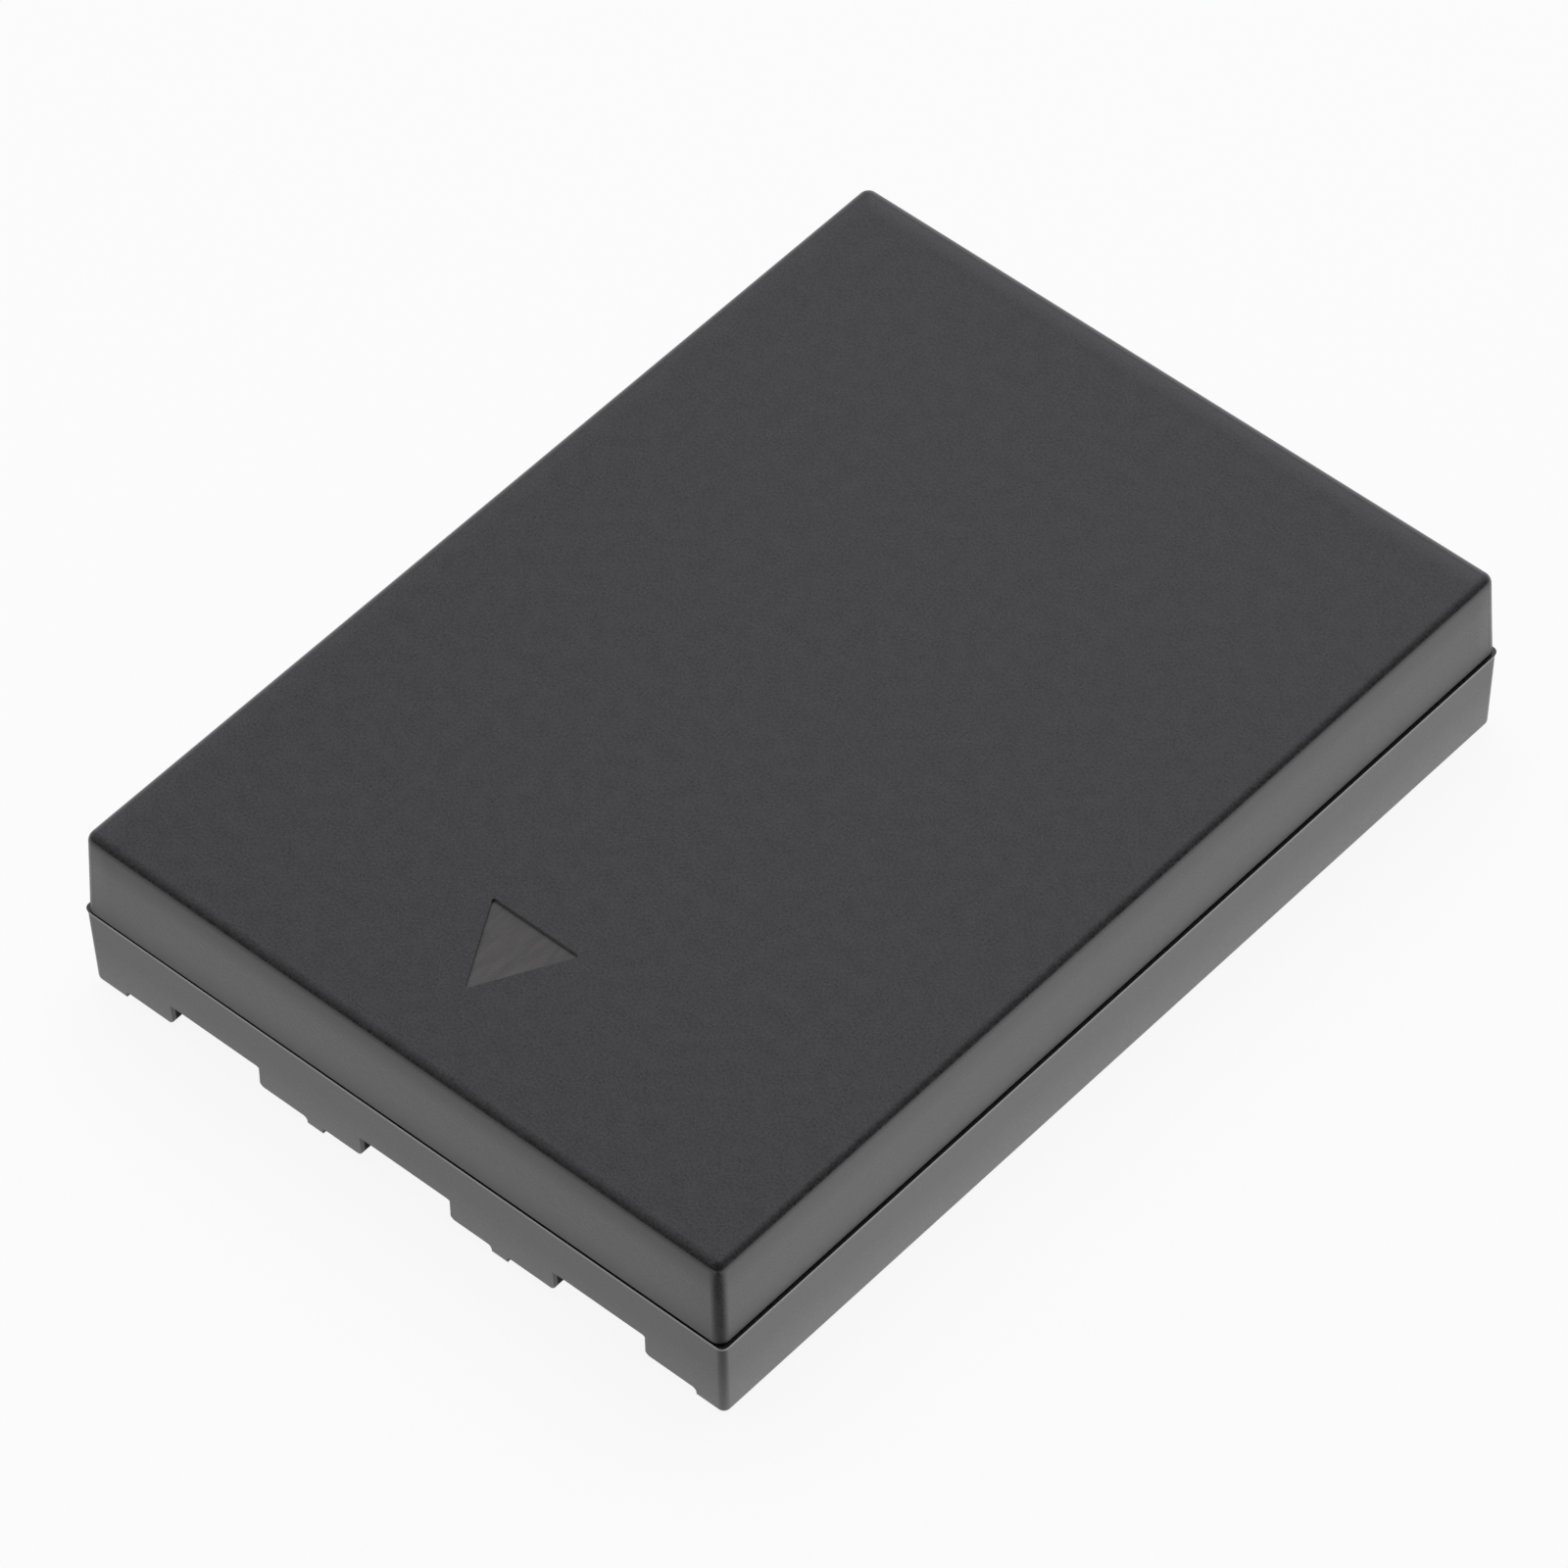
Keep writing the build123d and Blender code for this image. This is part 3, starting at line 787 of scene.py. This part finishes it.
@dataclass
class WhiteTable:
    """White paper under the pack, as the camera and the pack's reflections see it."""

    half: float = 20.0
    sink: float = 0.02 * MM
    colour: Colour = (0.9, 0.9, 0.9)
    shadow: float = 0.09
    front: Point = (0.673, -0.739, 0.0)
    front_from: float = 27.0 * MM
    front_to: float = 32.6 * MM
    front_white: float = 0.2
    aside: Point = (0.739, 0.673, 0.0)
    aside_middle: float = -3.2 * MM
    aside_from: float = 4.0 * MM
    aside_to: float = 9.0 * MM
    end_face: float = -22.44 * MM
    end_stops: Tuple[Stop, ...] = (
        (2.4 * MM, 0.82),
        (2.9 * MM, 0.76),
        (3.7 * MM, 0.98),
        (4.4 * MM, 0.94),
        (8.8 * MM, 0.66),
    )
    pack_half: Tuple[float, float] = (15.95 * MM, 22.25 * MM)
    under_soft: float = 0.3 * MM
    under_white: float = 0.08

    def build(self) -> bpy.types.Object:
        """Lay the paper.

        Returns:
            The floor's object.
        """
        half = self.half
        mesh = bpy.data.meshes.new("floor")
        corners = [(-half, -half, 0.0), (half, -half, 0.0), (half, half, 0.0), (-half, half, 0.0)]
        mesh.from_pydata(corners, [], [(0, 1, 2, 3)])
        floor = bpy.data.objects.new("floor", mesh)
        floor.location = (0.0, 0.0, -self.sink)
        bpy.context.scene.collection.objects.link(floor)
        mesh.materials.append(self.paper())
        return floor

    def mirrored_white(self, desk: NodeDesk) -> bpy.types.NodeSocket:
        """How white the paper is in reflections.

        It is dim before the near corner, a little uneven before the contact end, and darkened under
        the pack and at its foot by a painted shadow.

        Args:
            desk: The paper's desk.

        Returns:
            The strength's socket.
        """
        where = desk.add("ShaderNodeNewGeometry").outputs["Position"]
        parts = desk.add("ShaderNodeSeparateXYZ")
        desk.feed(parts.inputs[0], where)
        beside = desk.maths("SUBTRACT", desk.along(where, self.aside), self.aside_middle)
        off = desk.maths("ABSOLUTE", beside)
        patch = desk.spread(off, self.aside_from, self.aside_to, 1.0, 0.0)
        dimming = self.front_white - 1.0
        ahead_of_corner = desk.along(where, self.front)
        dim = desk.spread(ahead_of_corner, self.front_from, self.front_to, 0.0, dimming)
        front = desk.maths("MULTIPLY_ADD", dim, patch, 1.0)
        ahead = desk.maths("SUBTRACT", self.end_face, parts.outputs[1])
        before = desk.spread(ahead, -self.under_soft, 0.0)
        uneven = desk.maths("SUBTRACT", desk.stops(ahead, self.end_stops), 1.0)
        end = desk.maths("MULTIPLY_ADD", uneven, before, 1.0)
        # Painted shadow: the paper's reflected white falls towards under_white beneath the pack and
        # at its foot.
        over_x = desk.maths("SUBTRACT", desk.maths("ABSOLUTE", parts.outputs[0]), self.pack_half[0])
        over_y = desk.maths("SUBTRACT", desk.maths("ABSOLUTE", parts.outputs[1]), self.pack_half[1])
        outside = desk.maths("MAXIMUM", over_x, over_y)
        under = desk.spread(outside, -self.under_soft, 0.0, self.under_white, 1.0)
        return desk.maths("MULTIPLY", desk.maths("MULTIPLY", front, end), under)

    def paper(self) -> bpy.types.Material:
        """White paper that keeps a shadow, and is clear from below.

        Returns:
            The floor's material.
        """
        material = bpy.data.materials.new("floor_paper")
        material.use_nodes = True
        desk = NodeDesk(material.node_tree)
        desk.tree.nodes.clear()
        diffuse = desk.add("ShaderNodeBsdfDiffuse")
        desk.feed(diffuse.inputs[0], opaque(self.colour))
        path = desk.add("ShaderNodeLightPath")
        glossy, through = path.outputs["Is Glossy Ray"], path.outputs["Is Transmission Ray"]
        mirrored = desk.maths("MAXIMUM", glossy, through)
        white = desk.add("ShaderNodeEmission")
        dimmed = desk.maths("SUBTRACT", self.mirrored_white(desk), 1.0)
        desk.feed(white.inputs["Strength"], desk.maths("MULTIPLY_ADD", dimmed, mirrored, 1.0))
        seen = desk.maths("MULTIPLY", path.outputs["Is Camera Ray"], 1.0 - self.shadow)
        lit = desk.add("ShaderNodeMixShader")
        desk.feed(lit.inputs[0], desk.maths("MAXIMUM", seen, mirrored))
        desk.feed(lit.inputs[1], diffuse.outputs[0])
        desk.feed(lit.inputs[2], white.outputs[0])
        clear = desk.add("ShaderNodeBsdfTransparent")
        sided = desk.add("ShaderNodeMixShader")
        desk.feed(sided.inputs[0], desk.add("ShaderNodeNewGeometry").outputs["Backfacing"])
        desk.feed(sided.inputs[1], lit.outputs[0])
        desk.feed(sided.inputs[2], clear.outputs[0])
        surface = desk.add("ShaderNodeOutputMaterial")
        desk.feed(surface.inputs["Surface"], sided.outputs[0])
        return material


@dataclass
class Room:
    """Bright backdrop behind the pack, with a dim room on the camera's side."""

    backdrop: Point = (-0.633, 0.695, 0.342)
    backdrop_light: Tuple[Stop, ...] = (
        (-0.2, 0.06),
        (0.05, 0.08),
        (0.34, 0.19),
        (0.5, 0.28),
        (0.7, 0.4),
        (0.87, 0.485),
        (0.95, 0.73),
        (1.0, 0.87),
    )
    right: Point = (0.739, 0.673, 0.0)
    right_gain: Tuple[Stop, ...] = ((-0.35, 1.12), (-0.15, 0.73), (0.3, 1.355))
    fill: Point = (-0.44, -0.547, 0.712)
    fill_edges: Tuple[float, float] = (0.84, 0.99)
    fill_light: float = 0.14
    tint: Colour = (1.0, 1.0, 1.07)

    def build(self) -> None:
        """Light the room by direction: brightest behind the pack, with a weak fill on the left."""
        world = bpy.data.worlds.new("studio_room")
        world.use_nodes = True
        bpy.context.scene.world = world
        desk = NodeDesk(world.node_tree)
        desk.tree.nodes.clear()
        towards = desk.add("ShaderNodeTexCoord").outputs["Generated"]
        light = desk.stops(desk.along(towards, self.backdrop), self.backdrop_light)
        gain = desk.stops(desk.along(towards, self.right), self.right_gain)
        shell = desk.add("ShaderNodeBackground")
        desk.feed(shell.inputs["Color"], opaque(self.tint))
        desk.feed(shell.inputs["Strength"], desk.maths("MULTIPLY", light, gain))
        fill = desk.add("ShaderNodeBackground")
        near_fill = desk.along(towards, self.fill)
        strength = desk.spread(near_fill, *self.fill_edges, 0.0, self.fill_light)
        desk.feed(fill.inputs["Strength"], strength)
        both = desk.add("ShaderNodeAddShader")
        desk.feed(both.inputs[0], shell.outputs[0])
        desk.feed(both.inputs[1], fill.outputs[0])
        surface = desk.add("ShaderNodeOutputWorld")
        desk.feed(surface.inputs["Surface"], both.outputs[0])


@dataclass
class PhotoCamera:
    """Camera at the photograph's place, from its fitted angles in degrees."""

    azimuth: float = 42.5226
    elevation: float = 49.2335
    roll: float = -1.3702
    focal: float = 10632.75
    distance: float = 399.843 * MM
    centre: Tuple[float, float] = (815.79, 865.886)
    picture: float = 1600.0
    sensor: float = 36.0
    near_clip: float = 10.0 * MM

    def build(self) -> bpy.types.Object:
        """Make the camera and look through it.

        Returns:
            The camera's object.
        """
        turn = Matrix.Rotation(math.radians(self.azimuth), 3, "Z")
        tilt = Matrix.Rotation(math.radians(90.0 - self.elevation), 3, "X")
        lean = Matrix.Rotation(math.radians(self.roll), 3, "Z")
        basis = turn @ tilt @ lean
        pixel = self.distance / self.focal
        shift_x = (self.picture / 2 - self.centre[0]) * pixel
        shift_y = (self.centre[1] - self.picture / 2) * pixel
        data = bpy.data.cameras.new("photo_camera")
        data.sensor_width = self.sensor
        data.lens = self.focal / self.picture * self.sensor
        data.clip_start = self.near_clip
        camera = bpy.data.objects.new("photo_camera", data)
        eye = basis @ Vector((shift_x, shift_y, self.distance))
        camera.matrix_world = Matrix.Translation(eye) @ basis.to_4x4()
        bpy.context.scene.collection.objects.link(camera)
        bpy.context.scene.camera = camera
        return camera


def main() -> None:
    """Dress the pack, light it and look at it."""
    logging.basicConfig(level=logging.INFO, format="%(message)s")
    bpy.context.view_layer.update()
    scene = bpy.context.scene
    scene.view_settings.view_transform = "Standard"
    effects = Effects()
    for assembly in (CaseTrays(), CellStack(), ProtectionBoard()):
        assembly.dress(effects)
    for piece in (WhiteTable(), Room(), OverheadLamp(), PhotoCamera()):
        piece.build()
        LOG.info("%s: built", type(piece).__name__)


if __name__ == "__main__":
    main()
